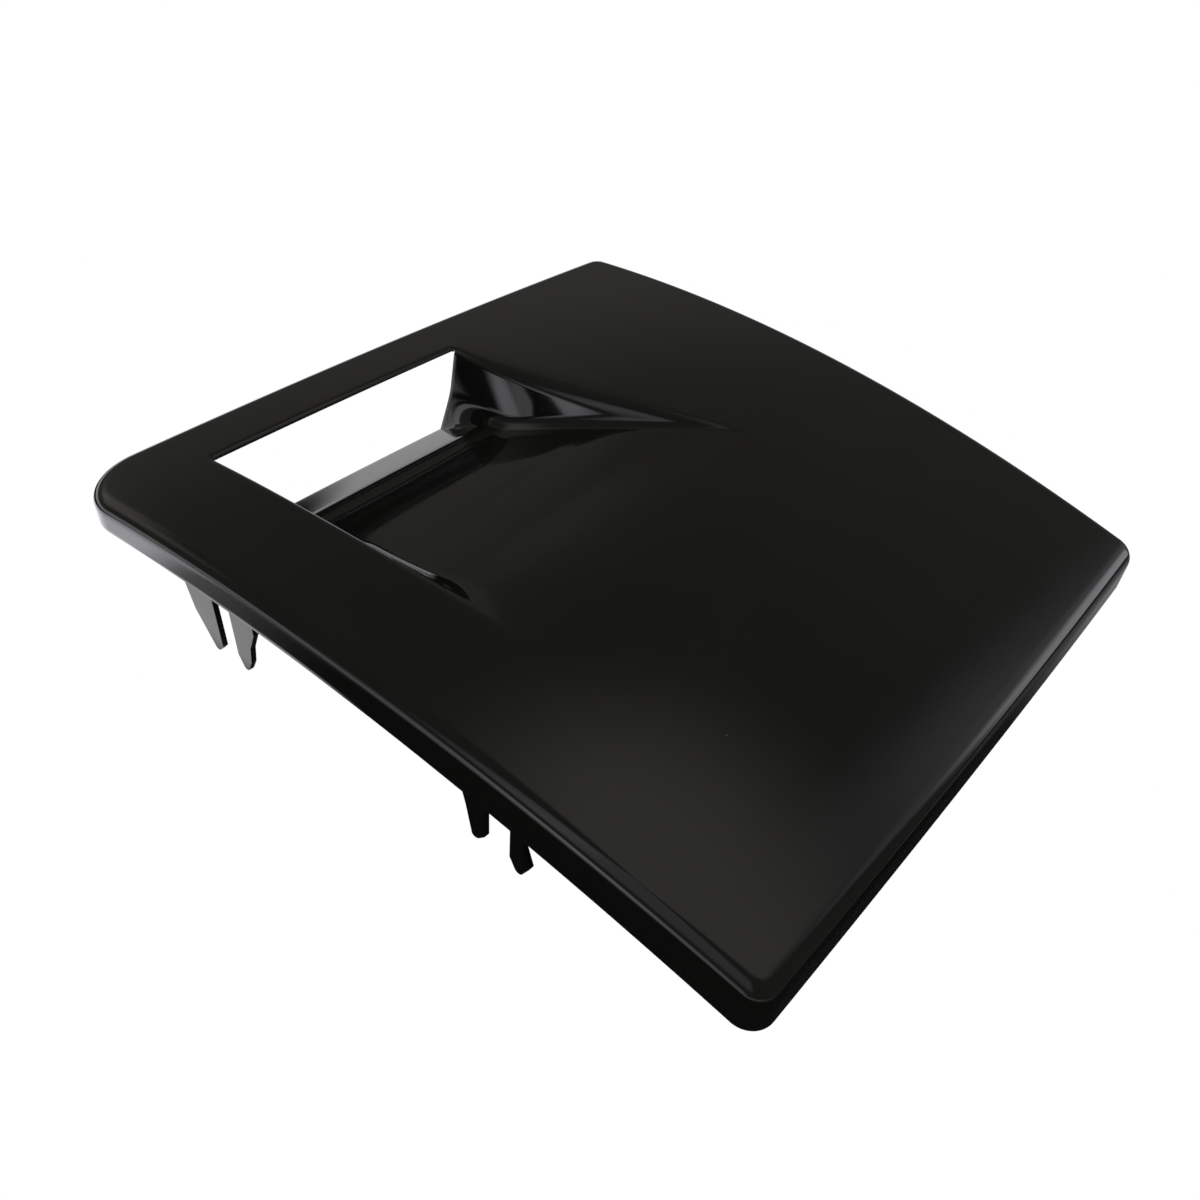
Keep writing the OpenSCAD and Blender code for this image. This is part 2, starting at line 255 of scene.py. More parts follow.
def cornerPoint(rear, inner, k):
    r = lid["bigCorner"] if rear and inner else lid["smallCorner"]
    c = cornerCentre(rear, inner, r)
    a = cornerDir(rear, inner, k)
    q = r - lid["edgeRadius"]
    return (c[0] + q * cosD(a), c[1] + q * sinD(a))


def stripY(t):
    turn = duct["stripTurn"]
    return mouthY + duct["stripRadius"] * (sinD(turn) - sinD(turn * t))


def rowY(j):
    edge = lid["edgeRadius"]
    if j <= cornerN:
        return rearY - edge - mesh["rearBand"] * j / cornerN
    if j <= row1:
        return blend(rearY - edge - lid["bigCorner"] / 2, stripY(0),
                     (j - cornerN) / (row1 - cornerN))
    if j <= row2:
        return stripY((j - row1) / mesh["roll"])
    if j <= row4:
        return blend(wallY, lipY, (j - row3) / mesh["lip"])
    if j <= row5:
        return blend(lipY, mouthY - duct["rampLength"], (j - row4) / mesh["ramp"])
    return blend(mouthY - duct["rampLength"], frontY + edge, (j - row5) / mesh["front"])


def sidePoint(inner, j):
    if j <= cornerN:
        return cornerPoint(True, inner, cornerN - j)
    if j >= rowN - cornerN:
        return cornerPoint(False, inner, j - rowN + cornerN)
    y0 = cornerPoint(True, inner, 0)[1]
    y1 = cornerPoint(False, inner, 0)[1]
    if j <= row1:
        y = blend(y0, rowY(row1), (j - cornerN) / (row1 - cornerN))
    elif j <= row5:
        y = rowY(j)
    else:
        y = blend(rowY(row5), y1, (j - row5) / (rowN - cornerN - row5))
    edge = lid["edgeRadius"]
    return (innerX(y) + edge / cosD(leanIn) if inner else outerX(y) - edge / cosD(leanOut), y)


def sideDir(inner, j):
    if j < cornerN:
        return cornerDir(True, inner, cornerN - j)
    if j > rowN - cornerN:
        return cornerDir(False, inner, j - rowN + cornerN)
    return 180 + leanIn if inner else -leanOut


# The mouth lies between two rows, from a little way down one crest to the other
holeFrom = col1 + round(duct["mouthOverCrest"] * arcN)
holeTo = col4 - round(duct["mouthOverCrest"] * arcN)

halfArc = {(rear, inner): [cornerPoint(rear, inner, cornerN + k)[0] for k in range(cornerN + 1)]
           for rear in (True, False) for inner in (True, False)}


# Y of the first or last row, with its rounded corners
def endY(rear, x):
    ci = cornerCentre(rear, True, lid["bigCorner"] if rear else lid["smallCorner"])
    co = cornerCentre(rear, False, lid["smallCorner"])
    ri = (lid["bigCorner"] if rear else lid["smallCorner"]) - lid["edgeRadius"]
    ro = lid["smallCorner"] - lid["edgeRadius"]
    k = 1 if rear else -1
    if x < ci[0]:
        return ci[1] + k * math.sqrt(max(0, ri * ri - (x - ci[0]) ** 2))
    if x > co[0]:
        return co[1] + k * math.sqrt(max(0, ro * ro - (x - co[0]) ** 2))
    return rearY - lid["edgeRadius"] if rear else frontY + lid["edgeRadius"]


# X of column i between a long side and the duct
def landX(inner, i, n, edge, crest, s):
    rear, front = halfArc[True, inner], halfArc[False, inner]
    if i <= cornerN:
        return edge + blend(rear[i] - rear[0], front[i] - front[0], s)
    x0 = edge + blend(rear[cornerN] - rear[0], front[cornerN] - front[0], s)
    return blend(x0, crest, (i - cornerN) / (n - cornerN))


# Plan places of one row, from the inner side to the outer one
def gridRow(j):
    y, s = rowY(j), j / rowN
    p0, p1 = sidePoint(True, j), sidePoint(False, j)
    wallIn, wallOut, ci, co = wallPoints(True, y), wallPoints(False, y), crestIn(y), crestOut(y)
    f0, f1 = ci + wallIn[wallN][0], co - wallOut[wallN][0]
    row = []
    for i in range(colN + 1):
        if i <= col1:
            x = landX(True, i, mesh["innerLand"], p0[0], ci, s)
        elif i < col2:
            x = ci + wallIn[i - col1][0]
        elif i <= col3:
            x = blend(f0, f1, (i - col2) / mesh["floor"])
        elif i < col4:
            x = co - wallOut[col4 - i][0]
        else:
            x = landX(False, colN - i, mesh["outerLand"], p1[0], co, s)
        if j == 0:
            py = endY(True, x)
        elif j == rowN:
            py = endY(False, x)
        elif i == 0:
            py = p0[1]
        elif i == colN:
            py = p1[1]
        else:
            pullIn = 1 - ease(i / col1) if i < col1 else 0
            pullOut = ease((i - col4) / mesh["outerLand"]) if i > col4 else 0
            if j <= row1:
                base = blend(endY(True, max(x, halfArc[True, True][0])), rowY(row1), j / row1)
            elif j > row5:
                base = blend(rowY(row5), endY(False, x), (j - row5) / mesh["front"])
            else:
                base = y
            py = base + pullIn * (p0[1] - base) + pullOut * (p1[1] - base)
        if row3 <= j < row4 and col1 < i < col4:   # the lip's end leans back, the floor the most
            low = (wallIn[i - col1][1] if i < col2 else wallOut[col4 - i][1] if i > col3
                   else duct["depth"]) / duct["depth"]
            py += duct["lipLean"] * low * (row4 - j) / mesh["lip"]
        row.append((x, py))
    return row


# How far the strip's front edge has turned down, less beside the crests
def stripDrop(j, inset):
    t = 0 if j <= row1 else duct["stripRadius"] * (
        1 - cosD(duct["stripTurn"] * (min(j, row2) - row1) / mesh["roll"]))
    r = duct["crestRadius"]
    return t * (0 if inset <= 0 else 1 if inset >= r else 1 - math.sqrt(1 - (inset / r) ** 2))


# The lip bends down behind the floor and runs on straight
def lipDrop(y):
    t = max(0, y - lipY)
    r, tilt = duct["lipBend"], duct["lipTilt"]
    if t < r * sinD(tilt):
        return r - math.sqrt(r * r - t * t)
    return r * (1 - cosD(tilt)) + (t - r * sinD(tilt)) * math.tan(math.radians(tilt))


def skinGrid():
    grid = []
    for j in range(rowN + 1):
        row = gridRow(j)
        y = rowY(j)
        wallIn, wallOut = wallPoints(True, y), wallPoints(False, y)
        width = row[col3][0] - row[col2][0]
        feet = wallIn[wallN][1], wallOut[wallN][1]
        sag = duct["trough"] * width * min(1, feet[0] / duct["troughDepth"])
        sag *= clamp((lipY - y) / duct["troughEnd"])
        out = []
        for i, p in enumerate(row):
            inset = min(p[0] - crestIn(y), crestOut(y) - p[0])
            if i <= col1 or i >= col4:
                fall, flat = 0, 0
            elif i < col2:
                fall, flat = wallIn[i - col1][1], i - col1
            elif i > col3:
                fall, flat = wallOut[col4 - i][1], col4 - i
            else:
                u = (i - col2) / mesh["floor"]
                fall, flat = blend(*feet, u) + 4 * u * (1 - u) * sag, wallN
            flat = 0 if flat <= arcN else ((flat - arcN) / (wallN - arcN)) ** 2   # share in the lip
            if j <= row2:
                fall = stripDrop(j, inset)
            else:
                fall += flat * lipDrop(p[1])
            out.append(bowed((p[0], p[1], topZ(*p) - fall)))
        grid.append(out)
    return grid


loopN = 2 * (colN + rowN)


# The grid's border as one loop: its cell b, and the way out from it
def loopCell(b):
    if b < colN:
        return b, 0
    if b < colN + rowN:
        return colN, b - colN
    if b < 2 * colN + rowN:
        return 2 * colN + rowN - b, rowN
    return 0, loopN - b


def loopDir(b):
    i, j = loopCell(b)
    if j == 0:
        if i <= cornerN:
            return cornerDir(True, True, cornerN + i)
        return cornerDir(True, False, cornerN + colN - i) if i >= colN - cornerN else 90
    if j == rowN:
        if i <= cornerN:
            return cornerDir(False, True, cornerN + i)
        return cornerDir(False, False, cornerN + colN - i) if i >= colN - cornerN else 270
    return sideDir(i == 0, j)


# The rolled edge and the skirt: ring k of the loop round the grid
def ringPoint(grid, b, k):
    i, j = loopCell(b)
    p, a = grid[j][i], loopDir(b)
    n = (cosD(a), sinD(a))
    step = 0.5
    fall = topZ(p[0], p[1]) - topZ(p[0] + step * n[0], p[1] + step * n[1])
    a0 = max(0, math.degrees(math.atan(fall / step)))
    r = lid["edgeRadius"] / (1 - sinD(a0))
    g = blend(a0, 90, min(k, mesh["edge"]) / mesh["edge"])
    low = (skirtDepth(p[1]) - r * cosD(a0)) * max(0, k - mesh["edge"]) / mesh["skirt"]
    out = r * sinD(g) - r * sinD(a0) + low * math.tan(math.radians(lid["draft"]))
    return (p[0] + out * n[0], p[1] + out * n[1], p[2] + r * cosD(g) - r * cosD(a0) - low)


def newObject(name, verts, faces):
    data = bpy.data.meshes.new(name)
    data.from_pydata(verts, [], faces)
    data.validate()
    data.polygons.foreach_set("use_smooth", [True] * len(data.polygons))
    data.update()
    obj = bpy.data.objects.new(name, data)
    bpy.context.scene.collection.objects.link(obj)
    return obj


# Millimetres about the lid's own lines to metres about the middle of its foot
def toFrame(points, middle):
    return [((x - middle[0]) / 1000, (y - middle[1]) / 1000, z / 1000) for x, y, z in points]


def buildSkin():
    grid = skinGrid()
    verts = [p for row in grid for p in row]
    gridCount = len(verts)
    rings = mesh["edge"] + mesh["skirt"]
    for k in range(1, rings + 1):
        verts += [ringPoint(grid, b, k) for b in range(loopN)]
    foot = verts[-loopN:]
    middle = [(max(p[a] for p in foot) + min(p[a] for p in foot)) / 2 for a in (0, 1)]

    def gridId(i, j):
        return j * (colN + 1) + i

    def ringId(b, k):
        b %= loopN
        return gridId(*loopCell(b)) if k == 0 else gridCount + (k - 1) * loopN + b

    faces = [(gridId(i, j), gridId(i, j + 1), gridId(i + 1, j + 1), gridId(i + 1, j))
             for j in range(rowN) for i in range(colN)
             if not (j == row2 and holeFrom <= i < holeTo)]
    faces += [(ringId(b, k), ringId(b + 1, k), ringId(b + 1, k + 1), ringId(b, k + 1))
              for k in range(rings) for b in range(loopN)]
    return newObject("lidSkin", toFrame(verts, middle), faces), middle


skin, middle = buildSkin()
print("skin", len(skin.data.vertices), "points, middle", middle)


# Tabs: slotted forks down each long side, each with a rearward prong and a forward one.
# Of two values in brackets the first is the rearward prong's. Prongs are drawn in the tab's
# plane [along the lid from the slot's middle, height]; slotZ is the middle of the slot's round end.
tabs = {
    "thickness": 2.5,
    "inset": 6.8,
    "slotWidth": 13,
    "rear": {"y": 85, "slotZ": 38, "tips": (0, 4.5), "wide": (28, 23.5)},
    "front": {"y": -68, "slotZ": 35, "tips": (6.5, 7.5), "wide": (20.5, 18)},
    "mouth": (5, 6),          # the slot's side starts this far above the tip
    "slope": ((3.5, 0.6), (10, 8)),   # point beside the tip [from the slot's side, above the tip]
    "tipMiddle": (5.2, 4.6),  # from the slot's side
    "tipRadius": (2, 2.2),
    "tipTurn": ((220, 330), (200, 320)),
    "knee": ((4, 16), (5, 18)),       # [in from the full width, above the tip]
    "hip": (30, 29),          # above the tip, at the full width
    "tipSteps": 8,
    "slotSteps": 24,
    "topSteps": 4,            # to each side of the slot
    "ribThickness": 2.2,
    "ribReach": 15,
    "ribGap": 4,              # from the slot's side
    "ribSink": 0.5,           # under the middle of the skin's wall
    "ribEnd": 3,              # how far the rib's far end stands below the skin
    "ribFoot": 2,             # how far its foot reaches below slotZ
    "weld": 0.02,
    "edgeSoftness": 0.45,
    "edgeSteps": 3,
    "edgeAngle": 40,
}


def arcPoints(cx, cz, r, turn, n):
    angles = [blend(*turn, i / n) for i in range(n + 1)]
    return [(cx + r * cosD(a), cz + r * sinD(a)) for a in angles]


def tipArc(side, half, tip):
    k = 1 if side == 0 else -1
    r = tabs["tipRadius"][side]
    return arcPoints(k * (half + tabs["tipMiddle"][side]), tip + r, r,
                     tabs["tipTurn"][side], tabs["tipSteps"])


def forkOutline(kind, mid):
    half = tabs["slotWidth"] / 2
    (tipA, tipB), (wideA, wideB) = kind["tips"], kind["wide"]
    (slopeA, slopeB), (kneeA, kneeB) = tabs["slope"], tabs["knee"]
    outline = [(half, tipA + tabs["mouth"][0]), (half + slopeA[0], tipA + slopeA[1])]
    outline += tipArc(0, half, tipA)
    outline += [(wideA - kneeA[0], tipA + kneeA[1]), (wideA, tipA + tabs["hip"][0])]
    for i in range(2 * tabs["topSteps"] + 1):
        d = 1 - i / tabs["topSteps"]
        d *= wideA if d > 0 else wideB
        skinZ = bowed((mid, kind["y"] + d, topZ(mid, kind["y"] + d)))[2]
        outline.append((d, skinZ - lid["wall"] / 2))
    outline += [(-wideB, tipB + tabs["hip"][1]), (-wideB + kneeB[0], tipB + kneeB[1]),
                (-half - slopeB[0], tipB + slopeB[1])]
    outline += tipArc(1, half, tipB)
    outline += [(-half, tipB + tabs["mouth"][1])]
    return outline + arcPoints(0, kind["slotZ"], half, (180, 0), tabs["slotSteps"])


# Flat outlines become plates: a tree that thickens each face and closes its back
def plateTree():
    tree = bpy.data.node_groups.new("plateFromOutline", "GeometryNodeTree")
    sockets = tree.interface
    sockets.new_socket("Geometry", in_out="INPUT", socket_type="NodeSocketGeometry")
    sockets.new_socket("Thickness", in_out="INPUT", socket_type="NodeSocketFloat")
    sockets.new_socket("Direction", in_out="INPUT", socket_type="NodeSocketVector")
    sockets.new_socket("Finish", in_out="INPUT", socket_type="NodeSocketMaterial")
    sockets.new_socket("Geometry", in_out="OUTPUT", socket_type="NodeSocketGeometry")
    nodes, links = tree.nodes, tree.links
    start = nodes.new("NodeGroupInput")
    end = nodes.new("NodeGroupOutput")
    extrude = nodes.new("GeometryNodeExtrudeMesh")
    extrude.mode = "FACES"
    extrude.inputs["Individual"].default_value = True
    flip = nodes.new("GeometryNodeFlipFaces")
    join = nodes.new("GeometryNodeJoinGeometry")
    merge = nodes.new("GeometryNodeMergeByDistance")
    merge.inputs["Distance"].default_value = tabs["weld"] / 1000
    real = nodes.new("GeometryNodeRealizeInstances")
    paint = nodes.new("GeometryNodeSetMaterial")
    for k, n in enumerate((start, extrude, flip, join, merge, real, paint, end)):
        n.location = (k * 190, 0)
    links.new(start.outputs["Geometry"], extrude.inputs["Mesh"])
    links.new(start.outputs["Direction"], extrude.inputs["Offset"])
    links.new(start.outputs["Thickness"], extrude.inputs["Offset Scale"])
    links.new(start.outputs["Geometry"], flip.inputs["Mesh"])
    links.new(extrude.outputs["Mesh"], join.inputs["Geometry"])
    links.new(flip.outputs["Mesh"], join.inputs["Geometry"])
    links.new(join.outputs["Geometry"], merge.inputs["Geometry"])
    links.new(merge.outputs["Geometry"], real.inputs["Geometry"])
    links.new(real.outputs["Geometry"], paint.inputs["Geometry"])
    links.new(start.outputs["Finish"], paint.inputs["Material"])
    links.new(paint.outputs["Geometry"], end.inputs["Geometry"])
    return tree


def setInput(modifier, name, value):
    for item in modifier.node_group.interface.items_tree:
        if item.item_type == "SOCKET" and item.in_out == "INPUT" and item.name == name:
            modifier[item.identifier] = value


def plates(name, outlines, thickness, direction, tree, finish):
    verts, faces = [], []
    for outline in outlines:
        faces.append(tuple(range(len(verts), len(verts) + len(outline))))
        verts += toFrame(outline, middle)
    flat = newObject(name + "Outline", verts, faces)
    modifier = flat.modifiers.new("plates", "NODES")
    modifier.node_group = tree
    setInput(modifier, "Thickness", thickness / 1000)
    setInput(modifier, "Direction", direction)
    setInput(modifier, "Finish", finish)
    bpy.context.view_layer.update()
    solid = bpy.data.meshes.new_from_object(flat.evaluated_get(bpy.context.evaluated_depsgraph_get()))
    bpy.data.objects.remove(flat)
    obj = bpy.data.objects.new(name, solid)
    bpy.context.scene.collection.objects.link(obj)
    return obj


def tabPlace(kind, inner):
    if inner:
        return innerX(kind["y"]) + tabs["inset"]
    return outerX(kind["y"]) - tabs["inset"] - tabs["thickness"]


def tabOutlines():
    out = []
    for inner in (True, False):
        for kind in (tabs["rear"], tabs["front"]):
            x = tabPlace(kind, inner)
            flat = forkOutline(kind, x + tabs["thickness"] / 2)
            out.append([(x, kind["y"] + d, z) for d, z in flat])
    return out


def ribOutlines():
    out = []
    sink = lid["wall"] / 2 + tabs["ribSink"]
    away = tabs["slotWidth"] / 2 + tabs["ribGap"]
    for inner in (True, False):
        for kind in (tabs["rear"], tabs["front"]):
            mid = tabPlace(kind, inner) + tabs["thickness"] / 2
            far = mid + (tabs["ribReach"] if inner else -tabs["ribReach"])
            for y in (kind["y"] + away, kind["y"] - away - tabs["ribThickness"]):
                end = topZ(mid, y) - lid["wall"] - tabs["ribEnd"]
                out.append([(mid, y, topZ(mid, y) - sink), (far, y, topZ(far, y) - sink),
                            (far, y, end), (mid, y, kind["slotZ"] - tabs["ribFoot"])])
    return out


# Gloss black moulding: near-black plastic with a faint orange peel, soft mould waves and dust
glossBlack = {
    "colour": (0.0032, 0.003, 0.0027, 1),
    "wornColour": (0.0048, 0.0045, 0.0041, 1),
    "roughness": 0.05,
    "roughnessSpread": 0.05,
    "toneScale": 9,         # waves per metre, as in every scale here
    "toneRange": (0.35, 0.7),
    "roughnessScale": 30,
    "roughnessRange": (0.3, 0.75),
    "peelScale": 420,
    "peelHeight": 0.0000016,
    "waveScale": 16,
    "waveHeight": 0.00012,
    "dustScale": 130,
    "dustSize": 0.035,
    "dustColour": (0.16, 0.155, 0.15, 1),
    "dustPatch": 14,
    "dustRange": (0.62, 0.66),
}


# An empty node tree in a material or world
def emptyTree(holder):
    holder.use_nodes = True
    holder.node_tree.nodes.clear()
    return holder.node_tree.nodes, holder.node_tree.links


def blackFinish():
    material = bpy.data.materials.new("glossBlack")
    nodes, links = emptyTree(material)
    out = nodes.new("ShaderNodeOutputMaterial")
    shader = nodes.new("ShaderNodeBsdfPrincipled")
    links.new(shader.outputs["BSDF"], out.inputs["Surface"])
    shader.inputs["IOR"].default_value = 1.5
    place = nodes.new("ShaderNodeTexCoord")

    def noise(scale, detail, roughness=0.5):
        n = nodes.new("ShaderNodeTexNoise")
        n.inputs["Scale"].default_value = scale
        n.inputs["Detail"].default_value = detail
        n.inputs["Roughness"].default_value = roughness
        links.new(place.outputs["Object"], n.inputs["Vector"])
        return n

    def spread(source, span, low=0, high=1):
        n = nodes.new("ShaderNodeMapRange")
        n.inputs["From Min"].default_value = span[0]
        n.inputs["From Max"].default_value = span[1]
        n.inputs["To Min"].default_value = low
        n.inputs["To Max"].default_value = high
        links.new(source, n.inputs["Value"])
        return n.outputs["Result"]

    tone = nodes.new("ShaderNodeMix")
    tone.data_type = "RGBA"
    tone.inputs[6].default_value = glossBlack["colour"]
    tone.inputs[7].default_value = glossBlack["wornColour"]
    cloud = noise(glossBlack["toneScale"], 4)
    links.new(spread(cloud.outputs["Fac"], glossBlack["toneRange"]), tone.inputs[0])

    dust = nodes.new("ShaderNodeTexVoronoi")
    dust.inputs["Scale"].default_value = glossBlack["dustScale"]
    links.new(place.outputs["Object"], dust.inputs["Vector"])
    speck = spread(dust.outputs["Distance"], (glossBlack["dustSize"], 0))
    patch = noise(glossBlack["dustPatch"], 2)
    pick = spread(patch.outputs["Fac"], glossBlack["dustRange"])
    both = nodes.new("ShaderNodeMath")
    both.operation = "MULTIPLY"
    links.new(speck, both.inputs[0])
    links.new(pick, both.inputs[1])
    dusty = nodes.new("ShaderNodeMix")
    dusty.data_type = "RGBA"
    dusty.inputs[7].default_value = glossBlack["dustColour"]
    links.new(tone.outputs[2], dusty.inputs[6])
    links.new(both.outputs[0], dusty.inputs[0])
    links.new(dusty.outputs[2], shader.inputs["Base Color"])

    low = glossBlack["roughness"]
    haze = noise(glossBlack["roughnessScale"], 5, 0.6)
    links.new(spread(haze.outputs["Fac"], glossBlack["roughnessRange"],
                     low, low + glossBlack["roughnessSpread"]), shader.inputs["Roughness"])

    def bump(source, height):
        n = nodes.new("ShaderNodeBump")
        n.inputs["Distance"].default_value = height
        n.inputs["Strength"].default_value = 1
        links.new(source.outputs["Fac"], n.inputs["Height"])
        return n

    wave = bump(noise(glossBlack["waveScale"], 1, 0.4), glossBlack["waveHeight"])
    peel = bump(noise(glossBlack["peelScale"], 2), glossBlack["peelHeight"])
    links.new(wave.outputs["Normal"], peel.inputs["Normal"])
    links.new(peel.outputs["Normal"], shader.inputs["Normal"])
    return material


black = blackFinish()
tree = plateTree()
forks = plates("lidTabs", tabOutlines(), tabs["thickness"], (1, 0, 0), tree, black)
ribs = plates("tabRibs", ribOutlines(), tabs["ribThickness"], (0, 1, 0), tree, black)
print("tabs and ribs", len(forks.data.vertices), len(ribs.data.vertices))


def finishEdges(obj, sizes):
    bevel = obj.modifiers.new("softEdges", "BEVEL")
    bevel.width = sizes["edgeSoftness"] / 1000
    bevel.segments = sizes["edgeSteps"]
    bevel.limit_method = "ANGLE"
    bevel.angle_limit = math.radians(sizes["edgeAngle"])


shell = skin.modifiers.new("wall", "SOLIDIFY")
shell.thickness = lid["wall"] / 1000
shell.offset = -1
shell.use_rim = True
finishEdges(skin, lid)
skin.data.materials.append(black)

for plate in (forks, ribs):
    fix = bmesh.new()
    fix.from_mesh(plate.data)
    bmesh.ops.recalc_face_normals(fix, faces=fix.faces)
    fix.to_mesh(plate.data)
    fix.free()
    plate.data.polygons.foreach_set("use_smooth", [False] * len(plate.data.polygons))
    finishEdges(plate, tabs)

for piece in (skin, forks, ribs):
    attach(piece, "root")
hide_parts("lid")
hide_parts("lid")
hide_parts("lid")


# Camera at the photograph's place
view = {
    "place": (-0.2962, -0.2204, 0.3351),
    "ahead": (0.5734, 0.4544, -0.6817),
    "right": (0.6712, -0.7377, 0.0728),
    "focal": 1030 / 1200,   # of the picture's width
    "sensor": 36,
    "clip": (0.01, 60),
}


def makeCamera():
    data = bpy.data.cameras.new("photoView")
    data.sensor_width = view["sensor"]
    data.lens = view["sensor"] * view["focal"]
    data.clip_start, data.clip_end = view["clip"]
    cam = bpy.data.objects.new("photoView", data)
    bpy.context.scene.collection.objects.link(cam)
    z = -Vector(view["ahead"]).normalized()
    x = Vector(view["right"]).normalized()
    y = z.cross(x)
    turn = Matrix((x, y, z)).transposed().to_4x4()
    cam.matrix_world = Matrix.Translation(view["place"]) @ turn
    bpy.context.scene.camera = cam


makeCamera()
print("camera", view["place"])


# The floor, in metres, and cards on it that only reflections see, which are painted reflections: the
# floor near the lid is dark in the gloss by cards of painted shade, and pale by the rear inner corner
# and tab by glowing cards that are no lamps.
# Each card is an oval spot [height, middle, reach, colour] that is even to its reach and gone at
# twice that.
# Near black for the cards that paint shade into the floor's reflection around the lid
paintedShadeColour = (0.01, 0.01, 0.01, 1)
ground = {
    "height": -0.0003,
    "halfSize": 6,
    "colour": (0.8, 0.8, 0.8, 1),
    "fadeEnd": 2,
    "cards": {
        "paintedShadeFloor": (-0.00025, (-0.15, -0.15), (0.2, 0.2), paintedShadeColour),
        "paintedShadeFront": (-0.00022, (1.6, -2), (1.7, 1.7), paintedShadeColour),
        "paintedShadeRear": (-0.0002, (-0.1, 0.225), (0.045, 0.045), paintedShadeColour),
        "paintedShadeBeyond": (-0.00018, (-0.2, 0.33), (0.075, 0.06), paintedShadeColour),
        # Pale cards that glow though they are no lamps: painted reflections of lit floor by the rear
        # inner corner and the rear tab
        "paintedGlowCorner": (-0.00015, (-0.225, 0.22), (0.05, 0.04), (1.6, 1.57, 1.7, 1)),
        "paintedGlowTabs": (-0.0001, (-0.176, 0.115), (0.011, 0.05), (1, 1, 1, 1)),
    },
}


def sheet(name, middle, halfX, halfY, z):
    corners = [(middle[0] + x * halfX, middle[1] + y * halfY, z)
               for x, y in ((-1, -1), (1, -1), (1, 1), (-1, 1))]
    return newObject(name, corners, [(0, 1, 2, 3)])


# White to the camera and to clear reflections, plain matt to all other light
def makeFloor():
    size = ground["halfSize"]
    floor = sheet("floor", (0, 0), size, size, ground["height"])
    material = bpy.data.materials.new("paleFloor")
    nodes, links = emptyTree(material)
    out = nodes.new("ShaderNodeOutputMaterial")
    both = nodes.new("ShaderNodeMixShader")
    matt = nodes.new("ShaderNodeBsdfDiffuse")
    matt.inputs["Color"].default_value = ground["colour"]
    glow = nodes.new("ShaderNodeEmission")
    glow.inputs["Strength"].default_value = 1
    rays = nodes.new("ShaderNodeLightPath")
    seen = rays.outputs["Is Camera Ray"]
    for kind in ("Is Glossy Ray", "Is Transmission Ray"):
        add = nodes.new("ShaderNodeMath")
        add.operation = "ADD"
        add.use_clamp = True
        links.new(seen, add.inputs[0])
        links.new(rays.outputs[kind], add.inputs[1])
        seen = add.outputs[0]
    links.new(seen, both.inputs["Fac"])
    links.new(matt.outputs[0], both.inputs[1])
    links.new(glow.outputs[0], both.inputs[2])
    links.new(both.outputs[0], out.inputs["Surface"])
    floor.data.materials.append(material)


# A card glows with its colour and fades out, seen only by reflections: painted shade where it is
# dark, a painted reflection of lit floor where it is pale
def floorCard(name, height, middle, reach, colour):
    end = ground["fadeEnd"]
    card = sheet(name, middle, end * reach[0], end * reach[1], height)
    material = bpy.data.materials.new(name)
    nodes, links = emptyTree(material)
    place = nodes.new("ShaderNodeTexCoord")
    far = nodes.new("ShaderNodeVectorMath")
    far.operation = "MULTIPLY_ADD"
    far.inputs[1].default_value = (1 / reach[0], 1 / reach[1], 1)
    far.inputs[2].default_value = (-middle[0] / reach[0], -middle[1] / reach[1], 0)
    links.new(place.outputs["Object"], far.inputs[0])
    long = nodes.new("ShaderNodeVectorMath")
    long.operation = "LENGTH"
    links.new(far.outputs[0], long.inputs[0])
    fade = nodes.new("ShaderNodeMapRange")
    fade.interpolation_type = "SMOOTHSTEP"
    fade.inputs["From Min"].default_value = 1
    fade.inputs["From Max"].default_value = end
    links.new(long.outputs["Value"], fade.inputs["Value"])
    flat = nodes.new("ShaderNodeEmission")
    flat.inputs["Color"].default_value = colour
    clear = nodes.new("ShaderNodeBsdfTransparent")
    mix = nodes.new("ShaderNodeMixShader")
    links.new(fade.outputs[0], mix.inputs["Fac"])
    links.new(flat.outputs[0], mix.inputs[1])
    links.new(clear.outputs[0], mix.inputs[2])
    out = nodes.new("ShaderNodeOutputMaterial")
    links.new(mix.outputs[0], out.inputs["Surface"])
    card.data.materials.append(material)
    card.visible_camera = card.visible_diffuse = card.visible_shadow = False


makeFloor()
for name, card in ground["cards"].items():
    floorCard(name, *card)
print("floor and", len(ground["cards"]), "cards")


# What the gloss reflects: a dim sky with soft panels, each [azimuth from the rear towards
# the outer side, elevation, half width, half height, softness across and up, strength]
sky = {
    "dim": 0.115,
    "warmColour": (1.0, 0.975, 0.93, 1),
    "coolColour": (0.95, 0.93, 1.0, 1),
    "warm": {
        "leftRear": (-12, 24, 20, 8, 10, 6, 0.45),
        "rearLow": (44, 18, 50, 7, 12, 5, 0.03),
        "overhead": (92, 76, 42, 18, 20, 6, 0.42),
    },
    "cool": {
        "leftHorizon": (-82, 0, 10, 9, 20, 7, 2.6),
        "leftTall": (-74, 50, 9, 22, 5, 8, 0.45),
        "farLeft": (-100, 60, 25, 30, 10, 10, 0.4),
        "rightLow": (122, 8, 11, 18, 5, 11, 1.4),
        "rightTall": (116, 30, 18, 22, 5, 10, 0.42),
    },
}
panelInputs = ("Middle", "Height", "Half Width", "Half Height", "Side Softness",
               "Top Softness", "Strength")


